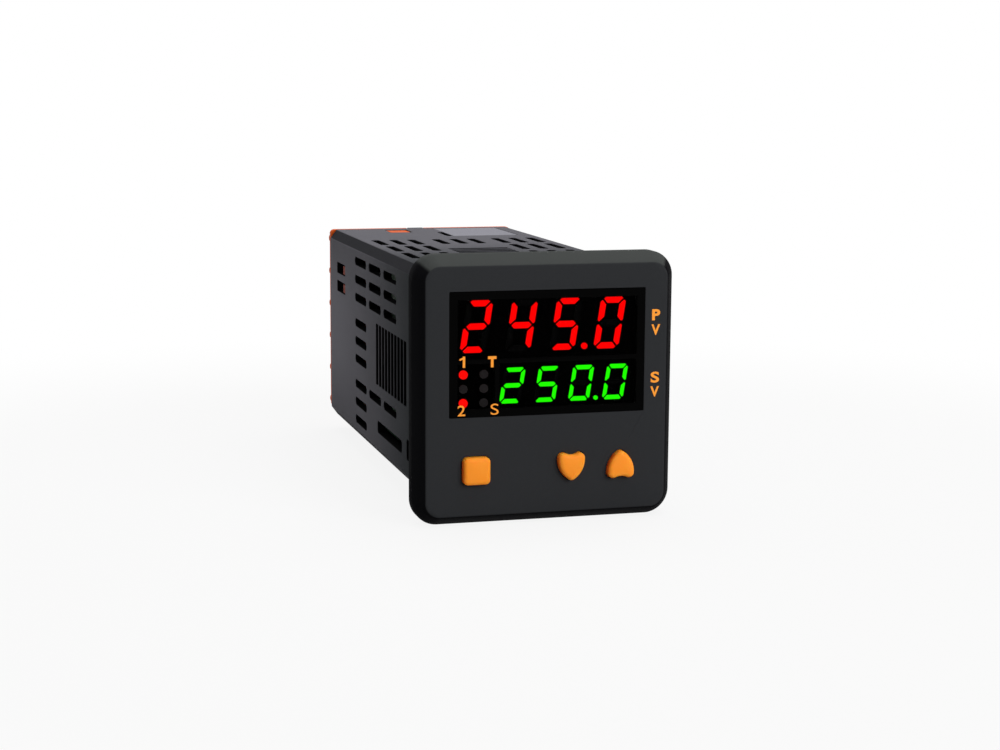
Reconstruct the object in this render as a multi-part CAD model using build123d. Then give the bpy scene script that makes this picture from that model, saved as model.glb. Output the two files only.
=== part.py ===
from build123d import *
from math import atan2, degrees, radians, tan
import os

# A panel-mounting temperature controller with a 48 mm square bezel: a vented case, a front with two
# four-digit displays, six lamps and three sprung keys, two side boards, and screw terminals at the back.
# Millimetres. x is to the right seen from the front, y runs from the front to the back, and z is up.
# The origin is the middle of the panel plane, which is the bezel's rear face.

# Displays: the process value above, and the lamps and the set value below it
display_width = 33.7
process_display_height = 11.18
setpoint_display_height = 8.72
lamp_holder_width = 7.5
module_gap = 0.1
module_margin = 0.15
lens_depth = 0.3
slant_deg = 9.0
segment_corner_share = 0.7
segment_tip_share = 0.3
small_dot_sides = 16

# Digits: margins to the edges of the display, the space between digits, the widths of upright and level
# segments, and the seam between segments
process_digits = {"left": 1.09, "right": 1.99, "top": 0.6, "bottom": 1.37, "between": 3.58}
process_strokes = {"upright": 1.0, "level": 1.06, "seam": 0.42, "dot_r": 0.56}
process_text = "245.0"
setpoint_digits = {"left": 0.71, "right": 1.45, "top": 1.43, "bottom": 0.95, "between": 2.54}
setpoint_strokes = {"upright": 0.62, "level": 0.74, "seam": 0.34, "dot_r": 0.38}
setpoint_text = "250.0"

# Indicator lamps: two columns of three, with the outer column's top and bottom lamps lit
lamp_r = 0.79
lamp_margins = {"left": 1.77, "right": 2.0, "top": 2.41, "bottom": 1.23}
lit_lamps = ((0, 0), (0, 2))

# Display window and its seat
pane_thickness = 1.2
pane_gap = 0.05
pane_ledge = 0.9
pane_side_margin = 6.1
pane_top_margin = 6.32

# Bezel
bezel_corner_r = 4.5
bezel_depth = 5.5
rim_depth = 2.5
rim_slope = 1.8
rim_edge = 0.35
front_wall = 2.2
rim_overlap = 1.7
collar_wall = 1.45
collar_length = 3.5
collar_corner_r = 2.5

# Case
case_wall = 1.7
case_chamfer_x = 1.4
case_chamfer_z = 1.9
case_back = 92.5
case_seat_gap = 0.2
case_collar_gap = 0.15

# Vents: long slots with cut corners, in rows at the same places along every face
vent_length = 11.6
vent_width = 1.75
vent_corner = 0.6
vent_pitch = 3.75
vent_row_pitch = 14.1
vent_back_gap = 33.5
vent_edge = 4.15
top_vent_counts = (3, 3, 3, 1, 1, 1, 3, 3, 3)
side_vent_counts = (1, 1, 3, 1, 1, 1, 3, 3, 3)

# Ratchet racks for a panel clamp, one in the middle of each face
rack_width = 12.1
rack_start = 16.3
rack_pitch = 2.8
rack_teeth = 10
rack_depth = 1.0
rack_land = 0.5
rack_ramp = 1.3

# Openings low in the side walls, near the bezel
low_slot_corner = 0.45
long_slot_start = 20.3
long_slot_length = 22.2
long_slot_width = 2.4
long_slot_rise = 6.3
hook_slot_start = 14.1
hook_slot_length = 2.2
hook_slot_height = 3.9
hook_slot_rise = 6.7

# Hook windows near the back, two in each side wall
window_back_gap = 7.8
window_length = 9.2
window_height = 2.4
window_drop = 7.5
window_pitch = 3.95

# Keys
key_side = 4.9
key_corner_r = 0.9
key_edge = 0.6
key_proud = 1.5
key_drop = 9.53
key_bottom_margin = 10.05
set_key_margin = 10.88
up_key_margin = 10.4
arrow_key_pitch = 9.27
arrow_bulge = 0.42
arrow_hollow = 0.5
key_gap = 0.15
key_flange = 0.8
key_flange_depth = 0.9
key_flange_gap = 0.1
key_travel = 0.5
key_stop_gap = 0.4

# Key switches
switch_side = 6.0
plunger_side = 2.6
plunger_gap = 0.1
plunger_hold = 1.5
plunger_end_gap = 0.8
switch_floor = 0.6

# Front board and the bezel's posts that carry it
board_thickness = 1.6
front_board_gap = 1.0
post_side = 2.4
post_inset = 1.8
post_drop = 3.18
middle_post_drop = 0.8
peg_side = 1.2
peg_gap = 0.1
peg_tip = 0.6

# Bezel hooks that hold the case
hook_arm_thickness = 1.0
hook_arm_gap = 0.2
hook_gap = 0.3
hook_bite = 1.4

# Side boards and their guide ribs
side_board_front_gap = 1.8
side_board_back_gap = 0.4
board_edge_gap = 0.3
guide_height = 2.0
guide_wall = 0.9
guide_gap = 0.1
guide_inset = 1.6
guide_front_length = 15.5
guide_back_length = 13.5

# Back cover
cover_inset = 0.2
cover_lift = 0.15
cover_corner_r = 0.9
cover_plate = 1.8
cover_skirt_gap = 0.15
cover_skirt_length = 10.5
cover_inner_wall = 1.0
divider_proud = 1.0
divider_end = 0.35
notch_x = (-3.1, 0.7)
notch_gap = 0.15

# Latch tab on top and side hooks of the back cover
latch_x = (-8.9, -4.6)
latch_length = 6.0
latch_back_gap = 3.9
latch_gap = 0.3
latch_top_drop = 0.2
latch_slit = 0.5
latch_slit_back_gap = 2.0
side_hook_length = 1.6
side_hook_drop = 0.5
side_arm_thickness = 1.1

# Terminals: two columns of five square bays in the back cover
terminal_count = 5
terminal_margin = 1.7
terminal_middle_z = 0.65
divider_width = 1.2
bay_outer_wall = 0.65
bay_depth = 7.0
bay_floor_thickness = 2.5
plate_gap = 0.3
plate_thickness = 0.8
tail_width = 2.4
tail_reach = 6.0
tail_gap = 0.15
clamp_thickness = 1.0
screw_head_gap = 0.1
screw_head_height = 2.0
screw_wall = 1.2
screw_gap = 0.05
stem_sides = 8
driver_slot_width = 0.7
driver_slot_depth = 1.1

# Label recess and slot on top of the case
label_side_margin = 4.2
label_back_margin = 1.2
label_width = 14.35
label_length = 19.8
recess_depth = 0.25
label_thickness = 0.2
label_margin = 0.15
top_slot_width = 1.2
top_slot_length = 10.0
top_slot_gap = 0.2

# Parts on the left board, placed from its front or back end, and reaching nearly to the middle
hidden_round_sides = 24
transformer_from_front = 24.6
transformer_z = 0.0
transformer_middle_gap = 0.1
core_width = 16.0
core_depth = 5.0
core_limb = 2.0
core_middle = 4.0
coil_depth = 11.6
coil_side_gap = 0.2
coil_gap = 0.15
bobbin_base = 1.2
bobbin_base_side = 15.0
bulk_capacitor_r = 5.0
bulk_capacitor_middle_gap = 0.8
bulk_capacitor_from_back = 21.6
bulk_capacitor_from_top = 9.7
output_capacitor_r = 2.5
output_capacitor_height = 8.0
output_capacitor_from_front = 10.0
output_capacitors_from_top = (6.7, 13.7)
varistor_r = 4.5
varistor_thickness = 3.2
varistor_stand = 1.5
varistor_from_back = 15.6
varistor_from_bottom = 10.2
lead_side = 0.7
lead_spread = 2.5
fuse_r = 4.0
fuse_height = 7.0
fuse_from_back = 23.0
fuse_from_bottom = 12.7

# Parts on the right board
relay_length = 18.0
relay_width = 10.4
relay_middle_gap = 1.1
relay_from_back = 17.6
relay_from_edge = 9.7
relay_edge = 0.6
converter_size = (2.3, 7.5, 10.3)
converter_from_front = 14.6
converter_from_top = 14.7
coupler_size = (3.5, 6.5, 4.6)
coupler_from_back = 35.6
couplers_from_top = (6.7, 13.2)
processor_side = 10.0
processor_thickness = 1.4
processor_z = 3.0
header_depth = 5.0
header_width = 2.5
header_height = 18.0

# The display sets the window's size. The bezel is square, with room across for the window and down for
# the window and the keys, and its side comes to 48 mm
pane_width = display_width + 2 * (module_margin + pane_ledge)
display_height = process_display_height + module_gap + setpoint_display_height
pane_height = display_height + 2 * (module_margin + pane_ledge)
bezel_width = pane_width + 2 * pane_side_margin
bezel_height = pane_top_margin + pane_height + key_drop + key_bottom_margin
bezel_side = max(bezel_width, bezel_height)
bezel_half = bezel_side / 2
pane_top = bezel_half - pane_top_margin
pane_z = pane_top - pane_height / 2

# The collar and the case fit inside the bezel's rim
collar_side = bezel_side - 2 * rim_overlap
case_side = collar_side - 2 * (collar_wall + case_collar_gap)
cover_side = case_side - 2 * cover_inset
case_half = case_side / 2
inner_half = case_half - case_wall
vent_group = case_half - vent_edge - vent_pitch
vent_last_row = case_back - vent_back_gap
long_slot_z = long_slot_rise - case_half
hook_slot_z = hook_slot_rise - case_half
window_start = case_back - window_back_gap - window_length
window_zs = (case_half - window_drop, case_half - window_drop - window_pitch)

# Places of the displays
display_half = display_width / 2
display_top = pane_top - pane_ledge - module_margin
process_z = (display_top - process_display_height, display_top)
setpoint_z = (display_top - display_height, display_top - display_height + setpoint_display_height)
lamp_holder_x = (-display_half, lamp_holder_width - display_half)
process_x = (-display_half, display_half)
setpoint_x = (lamp_holder_x[1] + module_gap, display_half)

# Depths from the bezel's front to the front board
front_y = -bezel_depth
inner_face_y = front_y + front_wall
case_front = inner_face_y + case_seat_gap
pane_back_y = front_y + pane_thickness
module_front_y = pane_back_y + module_gap
module_face_y = module_front_y + lens_depth
flange_front_y = inner_face_y + key_flange_gap
flange_back_y = flange_front_y + key_flange_depth
switch_front_y = flange_back_y + key_travel + key_stop_gap
plunger_end_y = switch_front_y + plunger_hold
well_end_y = plunger_end_y + key_travel + plunger_end_gap
front_board_y = well_end_y + switch_floor
board_back_y = front_board_y + board_thickness

# Places of the keys and of the posts
key_z = key_bottom_margin - bezel_half
set_key_x = set_key_margin - bezel_half
up_key_x = bezel_half - up_key_margin
down_key_x = up_key_x - arrow_key_pitch
front_board_side = 2 * (inner_half - front_board_gap)
post_x = front_board_side / 2 - post_inset
post_z = pane_top - pane_height - post_drop
middle_post = ((set_key_x + down_key_x) / 2, key_z - middle_post_drop)
post_places = ((-post_x, post_z), (post_x, post_z), middle_post)

# The back cover, its terminals and the side boards
skirt_half = inner_half - cover_skirt_gap
cover_skirt_start = case_back - cover_skirt_length
cover_back = case_back + cover_plate
side_board_front = board_back_y + side_board_front_gap
side_board_end = cover_skirt_start - side_board_back_gap
side_board_half = inner_half - board_edge_gap
terminal_pitch = (2 * skirt_half - terminal_margin) / terminal_count
bay_side = terminal_pitch - divider_width
bay_floor = case_back - bay_depth
plate_side = bay_side - 2 * plate_gap
screw_head_r = plate_side / 2 - screw_head_gap
screw_r = plate_side / 2 - screw_wall
terminal_x = skirt_half - bay_outer_wall - bay_side / 2
side_board_x = terminal_x - plate_side / 2 + plate_thickness
side_board_outer = side_board_x + board_thickness
terminal_zs = [
    terminal_middle_z + (i - (terminal_count - 1) / 2) * terminal_pitch for i in range(terminal_count)
]
latch_y = (case_back - latch_back_gap - latch_length, case_back - latch_back_gap)
label_x = (case_half - label_side_margin - label_width, case_half - label_side_margin)
label_y = (case_back - label_back_margin - label_length, case_back - label_back_margin)
top_slot_x = (label_x[0] - top_slot_gap - top_slot_width, label_x[0] - top_slot_gap)
top_slot_y = (label_y[0], label_y[0] + top_slot_length)
core_height = side_board_x - bobbin_base - transformer_middle_gap
coil_width = core_width - 2 * (core_limb + coil_side_gap)

parts = {}


def block(x, y, z):
    """A box between its bounds along x, y and z, each given low end first."""
    middle = [(low + high) / 2 for low, high in (x, y, z)]
    size = [high - low for low, high in (x, y, z)]
    return Pos(*middle) * Box(*size)


def around(middle, size):
    """The bounds of a length about its middle."""
    return (middle - size / 2, middle + size / 2)


def along_y(sketch, start, end):
    """A sketch in x and z, seen from the front, as a solid between two depths."""
    plane = Plane((0, start, 0), x_dir=(1, 0, 0), z_dir=(0, -1, 0))
    return extrude(plane * sketch, amount=end - start, dir=(0, 1, 0))


def rod_y(radius, start, end, x=0.0, z=0.0):
    """A round rod along y."""
    return along_y(Pos(x, z) * Circle(radius), start, end)


def square_post(side, start, end, x, z):
    """A square post along y."""
    return block(around(x, side), (start, end), around(z, side))


def both_sides(solid):
    """A solid and its mirror image across the middle plane."""
    return solid + mirror(solid, about=Plane.YZ)


def case_outline(grow):
    """The case's chamfered square section, grown or shrunk on all sides."""
    half = case_half + grow
    low_x, low_z = half - case_chamfer_x, half - case_chamfer_z
    corners = [(low_x, half), (half, low_z), (half, -low_z), (low_x, -half)]
    corners += [(-x, z) for x, z in reversed(corners)]
    return Polygon(*corners, align=None)


def vent_places(counts):
    """Slot middles, across and along a face, for nine columns that stand in groups of three."""
    places = []
    for i, count in enumerate(counts):
        across = (i // 3 - 1) * vent_group + (i % 3 - 1) * vent_pitch
        places += [(across, vent_last_row - row * vent_row_pitch) for row in range(count)]
    return places


def slot_outline(across, along, width, length, corner):
    """A slot with cut corners, drawn on the top face about its middle."""
    return Pos(across, along) * chamfer(Rectangle(width, length).vertices(), corner)


def slots(places):
    """Vent slots through both of two opposite walls, drawn on the top and bottom."""
    sketch = Sketch() + [slot_outline(*place, vent_width, vent_length, vent_corner) for place in places]
    return extrude(sketch, amount=case_side, both=True)


def rack_cutter():
    """The grooves of one ratchet rack, on the top face: ramps that end in walls facing the front."""
    tooth = rack_pitch - rack_land
    top, floor = case_half + rack_depth, case_half - rack_depth
    grooves = []
    for i in range(rack_teeth):
        y = rack_start + i * rack_pitch
        corners = [(y, top), (y + tooth, top), (y + tooth, floor), (y + rack_ramp, floor), (y, case_half)]
        grooves.append(Polygon(*corners, align=None))
    return extrude(Plane.YZ * (Sketch() + grooves), amount=rack_width / 2, both=True)


def guide_rib(y, up):
    """Two rails that hold the edge of a side board, under the top wall or on the bottom wall."""
    z = sorted((up * (inner_half - guide_height), up * (inner_half + case_wall / 2)))
    inner = (side_board_x - guide_gap - guide_wall, side_board_x - guide_gap)
    outer = (side_board_outer + guide_gap, side_board_outer + guide_gap + guide_wall)
    return block(inner, y, z) + block(outer, y, z)


def make_case():
    tube = along_y(case_outline(0), case_front, case_back) - along_y(
        case_outline(-case_wall), case_front, case_back
    )
    turn = Rot(0, -90, 0)
    tube -= slots(vent_places(top_vent_counts))
    tube -= turn * slots(vent_places(side_vent_counts))
    rack = rack_cutter()
    tube -= [Rot(0, angle, 0) * rack for angle in (0, 90, 180, 270)]
    across = around(0, 2 * case_side)
    long_middle = long_slot_start + long_slot_length / 2
    hook_middle = hook_slot_start + hook_slot_length / 2
    side_slots = Sketch() + [
        slot_outline(long_slot_z, long_middle, long_slot_width, long_slot_length, low_slot_corner),
        slot_outline(hook_slot_z, hook_middle, hook_slot_height, hook_slot_length, low_slot_corner),
    ]
    tube -= turn * extrude(side_slots, amount=case_side, both=True)
    for z in window_zs:
        window = (window_start, window_start + window_length)
        tube -= block(across, window, around(z, window_height))
    above = (0, case_side)
    tube -= block(*((low - latch_gap, high + latch_gap) for low, high in (latch_x, latch_y)), above)
    tube -= block(top_slot_x, top_slot_y, above)
    tube -= block(label_x, label_y, (case_half - recess_depth, case_side))
    guide_front = side_board_front + guide_inset
    guide_back = side_board_end - guide_inset
    for y in ((guide_front, guide_front + guide_front_length), (guide_back - guide_back_length, guide_back)):
        for up in (1, -1):
            tube += both_sides(guide_rib(y, up))
    tongue = (notch_x[0] + notch_gap, notch_x[1] - notch_gap)
    tube += block(tongue, (case_back, cover_back), (inner_half, case_half))
    return tube


def square_key(grow=0.0):
    """Outline of the set key about its middle."""
    side = key_side + 2 * grow
    return RectangleRounded(side, side, key_corner_r + grow)


def arrow_key(grow=0.0):
    """Outline of the up key: a rounded triangle with bulging sides and a hollow base."""
    reach = key_side / 2 - key_corner_r
    left, right, tip = (-reach, -reach), (reach, -reach), (0, reach)
    bulge = reach / 2 + arrow_bulge
    sides = [
        ThreePointArc(left, (-bulge, arrow_bulge / 2), tip),
        ThreePointArc(tip, (bulge, arrow_bulge / 2), right),
        ThreePointArc(right, (0, arrow_hollow - reach), left),
    ]
    return offset(make_face(sides), amount=key_corner_r + grow)


def down_outline(grow=0.0):
    """Outline of the down key: the up key's upside down."""
    return mirror(arrow_key(grow), about=Plane.XZ)


keys = {"set": (set_key_x, square_key), "down": (down_key_x, down_outline), "up": (up_key_x, arrow_key)}


def make_key(x, outline):
    """A key cap with soft edges and, behind the front wall, the flange that keeps it in."""
    cap = along_y(outline(), front_y - key_proud, flange_back_y)
    cap = chamfer(cap.faces().sort_by(Axis.Y)[0].edges(), key_edge)
    flange_side = key_side + 2 * key_flange
    flange = along_y(Rectangle(flange_side, flange_side), flange_front_y, flange_back_y)
    return Pos(x, 0, key_z) * (cap + flange)


def make_switch(x):
    """The body of a key's switch, with the well that its plunger travels in."""
    body = square_post(switch_side, switch_front_y, front_board_y, x, key_z)
    well_side = plunger_side + 2 * plunger_gap
    return body - square_post(well_side, switch_front_y, well_end_y, x, key_z)


def make_plunger(x):
    return square_post(plunger_side, flange_back_y, plunger_end_y, x, key_z)


def hook_arm():
    """A bezel hook: an arm along the right side wall with a catch in the case's hook slot."""
    outer = inner_half - hook_arm_gap
    z = around(hook_slot_z, hook_slot_height - 2 * hook_gap)
    slot_end = hook_slot_start + hook_slot_length
    arm = block((outer - hook_arm_thickness, outer), (inner_face_y, slot_end), z)
    catch = block((outer, outer + hook_bite), (hook_slot_start + hook_gap, slot_end - hook_gap), z)
    return arm + catch


def make_bezel():
    outline = RectangleRounded(bezel_side, bezel_side, bezel_corner_r)
    slope_depth = bezel_depth - rim_depth
    back = Plane((0, -rim_depth, 0), x_dir=(1, 0, 0), z_dir=(0, -1, 0))
    slope = extrude(back * outline, amount=slope_depth, taper=degrees(atan2(rim_slope, slope_depth)))
    body = along_y(outline, -rim_depth, 0) + slope
    body = chamfer(body.faces().sort_by(Axis.Y)[0].edges(), rim_edge)
    body += along_y(RectangleRounded(collar_side, collar_side, collar_corner_r), 0, collar_length)
    body -= along_y(case_outline(case_collar_gap), inner_face_y, collar_length)
    seat = Pos(0, pane_z) * Rectangle(pane_width + 2 * pane_gap, pane_height + 2 * pane_gap)
    opening = Pos(0, pane_z) * Rectangle(pane_width - 2 * pane_ledge, pane_height - 2 * pane_ledge)
    body -= along_y(seat, front_y, pane_back_y)
    body -= along_y(opening, front_y, inner_face_y)
    for x, outline in keys.values():
        body -= along_y(Pos(x, key_z) * outline(key_gap), front_y, inner_face_y)
    for x, z in post_places:
        body += square_post(post_side, inner_face_y, front_board_y, x, z)
        body += square_post(peg_side, front_board_y, board_back_y + peg_tip, x, z)
    return body + both_sides(hook_arm())


def make_pane():
    return along_y(Pos(0, pane_z) * Rectangle(pane_width, pane_height), front_y, pane_back_y)


def make_front_board():
    board = along_y(Rectangle(front_board_side, front_board_side), front_board_y, board_back_y)
    notch_depth = hook_arm_thickness + 2 * hook_arm_gap
    notch = block(
        (inner_half - notch_depth, inner_half),
        (front_board_y, board_back_y),
        around(hook_slot_z, hook_slot_height),
    )
    board -= both_sides(notch)
    for x, z in post_places:
        board -= square_post(peg_side + 2 * peg_gap, front_board_y, board_back_y, x, z)
    return board


def digit_segments(width, height, upright, level, seam):
    """The seven segments of a leaning digit about its middle, by their usual letters."""
    w, h, u, v = width + seam, height + seam, upright + seam, level + seam
    cut, tip, mid = u * segment_corner_share, u * segment_tip_share, h / 2
    top = [(cut, h), (w - cut, h), (w - cut / 2, h - cut / 2), (w - u, h - v), (u, h - v)]
    top.append((cut / 2, h - cut / 2))
    upper_left = [(0, mid + tip), (0, h - cut), (cut / 2, h - cut / 2), (u, h - v)]
    upper_left += [(u, mid + u - tip), (tip, mid)]
    bar = [(tip, mid), (tip + v / 2, mid + v / 2), (w - tip - v / 2, mid + v / 2), (w - tip, mid)]
    bar += [(w - tip - v / 2, mid - v / 2), (tip + v / 2, mid - v / 2)]

    def flip(points, x=False, z=False):
        return [(w - px if x else px, h - pz if z else pz) for px, pz in points]

    outlines = {
        "a": top,
        "b": flip(upper_left, x=True),
        "c": flip(upper_left, x=True, z=True),
        "d": flip(top, z=True),
        "e": flip(upper_left, z=True),
        "f": upper_left,
        "g": bar,
    }
    segments = {}
    for letter, points in outlines.items():
        leaning = [(x - w / 2 + (z - mid) * lean, z - mid) for x, z in points]
        face = Polygon(*leaning, align=None)
        segments[letter] = offset(face, amount=-seam / 2, kind=Kind.INTERSECTION)
    return segments


lean = tan(radians(slant_deg))
lit_segments = {
    "0": "abcdef",
    "1": "bc",
    "2": "abdeg",
    "3": "abcdg",
    "4": "bcfg",
    "5": "acdfg",
    "6": "acdefg",
    "7": "abc",
    "8": "abcdefg",
    "9": "abcdfg",
}


def small_dot(radius):
    """A lamp or a decimal point, drawn with flats too small to see."""
    return RegularPolygon(radius, small_dot_sides)


def display_faces(x, z, digits, strokes, text):
    """Lit and unlit lenses of a four-digit display between its edges, as sketches in x and z."""
    height = z[1] - z[0] - digits["top"] - digits["bottom"]
    room = x[1] - x[0] - digits["left"] - digits["right"] - height * lean
    pitch = (room + digits["between"]) / 4
    first = x[0] + digits["left"] + (height * lean + pitch - digits["between"]) / 2
    middle = z[0] + digits["bottom"] + height / 2
    dot_z = strokes["dot_r"] - height / 2
    dot = Pos(pitch / 2 + dot_z * lean, dot_z) * small_dot(strokes["dot_r"])
    widths = (strokes["upright"], strokes["level"], strokes["seam"])
    segments = digit_segments(pitch - digits["between"], height, *widths)
    lit, dark = [], []
    point_after = text.index(".") - 1
    for i, character in enumerate(text.replace(".", "")):
        place = Pos(first + i * pitch, middle)
        for letter, face in segments.items():
            (lit if letter in lit_segments[character] else dark).append(place * face)
        if i == point_after:
            lit.append(place * dot)
    return Sketch() + lit, Sketch() + dark


def make_display(name, x, z, *look):
    """A display block with its lit and unlit segment lenses on the front."""
    lit, dark = display_faces(x, z, *look)
    parts[name + "_display"] = block(x, (module_face_y, front_board_y), z)
    parts[name + "_segments_lit"] = along_y(lit, module_front_y, module_face_y)
    parts[name + "_segments_dark"] = along_y(dark, module_front_y, module_face_y)


def make_lamps():
    """Six lamps on the front of their holder, beside the set value."""
    columns = (lamp_holder_x[0] + lamp_margins["left"], lamp_holder_x[1] - lamp_margins["right"])
    bottom, top = setpoint_z[0] + lamp_margins["bottom"], setpoint_z[1] - lamp_margins["top"]
    lit, dark = [], []
    for column, x in enumerate(columns):
        for row, z in enumerate((bottom, (bottom + top) / 2, top)):
            lamp = Pos(x, z) * small_dot(lamp_r)
            (lit if (column, row) in lit_lamps else dark).append(lamp)
    parts["lamps_lit"] = along_y(Sketch() + lit, module_front_y, module_face_y)
    parts["lamps_dark"] = along_y(Sketch() + dark, module_front_y, module_face_y)
    parts["lamp_holder"] = block(lamp_holder_x, (module_face_y, front_board_y), setpoint_z)


def make_side_board():
    """The right-hand side board."""
    y = (side_board_front, side_board_end)
    return block((side_board_x, side_board_outer), y, (-side_board_half, side_board_half))


def standing(radius, height, y, z):
    """A round part standing on the left board, drawn with flats."""
    face = Plane((-side_board_x, y, z), x_dir=(0, 1, 0), z_dir=(1, 0, 0))
    return extrude(face * RegularPolygon(radius, hidden_round_sides), amount=height)


def make_transformer():
    """The ferrite core and the winding with its bobbin, on the left board."""
    foot = -side_board_x + bobbin_base
    y, z = side_board_front + transformer_from_front, transformer_z
    core = block((foot, foot + core_height), around(y, core_width), around(z, core_depth))
    window_x = (foot + core_limb, foot + core_height - core_limb)
    reach = core_width / 2 - core_limb
    for low, high in ((-reach, -core_middle / 2), (core_middle / 2, reach)):
        core -= block(window_x, (y + low, y + high), around(z, core_depth))
    grown_x = (foot, foot + core_height)
    coil_x = (foot - bobbin_base / 2, foot + core_height - core_limb - coil_gap)
    coil = block(coil_x, around(y, coil_width), around(z, coil_depth))
    coil = chamfer(coil.edges().filter_by(Axis.X), core_limb)
    base = block((-side_board_x, foot), around(y, bobbin_base_side), around(z, bobbin_base_side))
    limb = block(grown_x, around(y, core_middle + 2 * coil_gap), around(z, core_depth + 2 * coil_gap))
    bar_x = (foot, foot + core_limb + coil_gap)
    bar = block(bar_x, around(y, core_width + 2 * coil_gap), around(z, core_depth + 2 * coil_gap))
    return core, coil + base - limb - bar


def make_varistor():
    """A round varistor standing on two leads on the left board."""
    y, z = side_board_end - varistor_from_back, varistor_from_bottom - side_board_half
    foot = -side_board_x
    middle = foot + varistor_stand + varistor_r
    face = Pos(middle, z) * RegularPolygon(varistor_r, hidden_round_sides)
    disc = along_y(face, *around(y, varistor_thickness))
    leads = [
        block((foot, middle), around(y, lead_side), around(z + side * lead_spread, lead_side))
        for side in (-1, 1)
    ]
    return disc + leads


def chip(height, length, width, y, z):
    """A flat part on the right board."""
    return block((side_board_x - height, side_board_x), around(y, length), around(z, width))


def make_relay():
    """The upper relay."""
    height = side_board_x - relay_middle_gap
    place = (side_board_end - relay_from_back, side_board_half - relay_from_edge)
    relay = chip(height, relay_length, relay_width, *place)
    return chamfer(relay.faces().sort_by(Axis.X)[0].edges(), relay_edge)


def make_header():
    """The block that joins the front board to the right board."""
    y = (board_back_y, board_back_y + header_depth)
    return block((side_board_x - header_width, side_board_x), y, around(0, header_height))


def terminals(piece):
    """One piece for every terminal, made for the right column and mirrored for the left."""
    right = [Pos(terminal_x, 0, z) * piece for z in terminal_zs]
    return Part() + right + [mirror(solid, about=Plane.YZ) for solid in right]


def screw_stem(radius, start, end):
    """A screw's hidden stem or the hole for it, drawn with flats."""
    return along_y(RegularPolygon(radius, stem_sides), start, end)


def terminal_plate():
    """A contact plate about its screw, with the tail that is soldered to the side board."""
    plate_y = (bay_floor, bay_floor + plate_thickness)
    tail_outer = side_board_x - terminal_x
    plate = block((tail_outer - plate_thickness, plate_side / 2), plate_y, around(0, plate_side))
    tail_y = (side_board_end - tail_reach, plate_y[1])
    tail = block((tail_outer - plate_thickness, tail_outer), tail_y, around(0, tail_width))
    return plate + tail - screw_stem(screw_r + screw_gap, *plate_y)


def terminal_clamp():
    y = (bay_floor + plate_thickness, bay_floor + plate_thickness + clamp_thickness)
    return square_post(plate_side, *y, 0, 0) - screw_stem(screw_r + screw_gap, *y)


def terminal_screw():
    """A slotted cheese-head screw that ends flush with the back of the contact plate."""
    seat = bay_floor + plate_thickness + clamp_thickness
    top = seat + screw_head_height
    head = rod_y(screw_head_r, seat, top)
    slot = (top - driver_slot_depth, top)
    head -= block(around(0, driver_slot_width), slot, around(0, 2 * screw_head_r))
    return head + screw_stem(screw_r, bay_floor, seat)


def side_hook():
    """An arm of the back cover along the right side wall, with a catch for each hook window."""
    arm_start = window_start + side_hook_drop / 2
    arm_x = (skirt_half - side_arm_thickness, skirt_half)
    low, high = min(window_zs) - window_height / 2, max(window_zs) + window_height / 2
    arm = block(arm_x, (arm_start, cover_skirt_start + cover_plate), (low, high))
    catch_x = (skirt_half, case_half - side_hook_drop)
    catch_y = (arm_start, arm_start + side_hook_length)
    for z in window_zs:
        arm += block(catch_x, catch_y, around(z, window_height - 2 * latch_gap))
    return arm


def cover_outline():
    """The cover's plate: chamfered below like the case, with fuller corners above."""
    upper = RectangleRounded(cover_side, cover_side, cover_corner_r)
    upper &= Pos(0, cover_side / 2) * Rectangle(cover_side, cover_side)
    return Pos(0, cover_lift) * (upper + case_outline(-cover_inset))


def make_cover():
    skirt_outline = case_outline(skirt_half - case_half)
    cover = along_y(skirt_outline, cover_skirt_start, case_back)
    cover += along_y(cover_outline(), case_back, cover_back)
    bay_inner = terminal_x - bay_side / 2
    floor_front = bay_floor - bay_floor_thickness
    middle_half = bay_inner - cover_inner_wall
    high = skirt_half - side_arm_thickness
    cover -= block((-middle_half, middle_half), (cover_skirt_start, case_back), (-high, high))
    cover -= both_sides(block((middle_half, high), (cover_skirt_start, floor_front), (-high, high)))
    cover -= terminals(square_post(bay_side, bay_floor, cover_back, 0, 0))
    tail_outer = side_board_x - terminal_x
    tail_slot = block(
        (tail_outer - plate_thickness - tail_gap, tail_outer + tail_gap),
        (floor_front, bay_floor),
        around(0, tail_width + 2 * tail_gap),
    )
    cover -= terminals(tail_slot)
    reach = (bay_inner, cover_side / 2)
    for i in range(terminal_count + 1):
        z = terminal_zs[0] + (i - 0.5) * terminal_pitch
        rib = block(reach, (case_back, cover_back + divider_proud), around(z, divider_width))
        rib = chamfer(rib.faces().sort_by(Axis.Y)[-1].edges().filter_by(Axis.X), divider_end)
        cover += both_sides(rib)
    cover += both_sides(side_hook())
    tab = block(latch_x, latch_y, (skirt_half - side_arm_thickness, case_half - latch_top_drop))
    cover += tab
    for low, high_x in ((latch_x[0] - latch_slit, latch_x[0]), (latch_x[1], latch_x[1] + latch_slit)):
        slit_y = (cover_skirt_start, case_back - latch_slit_back_gap)
        cover -= block((low, high_x), slit_y, (high, case_side))
    return cover - block(notch_x, (case_back, cover_back), (inner_half - notch_gap, case_side))


def make_label():
    low = case_half - recess_depth
    x = (label_x[0] + label_margin, label_x[1] - label_margin)
    y = (label_y[0] + label_margin, label_y[1] - label_margin)
    return block(x, y, (low, low + label_thickness))


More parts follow.
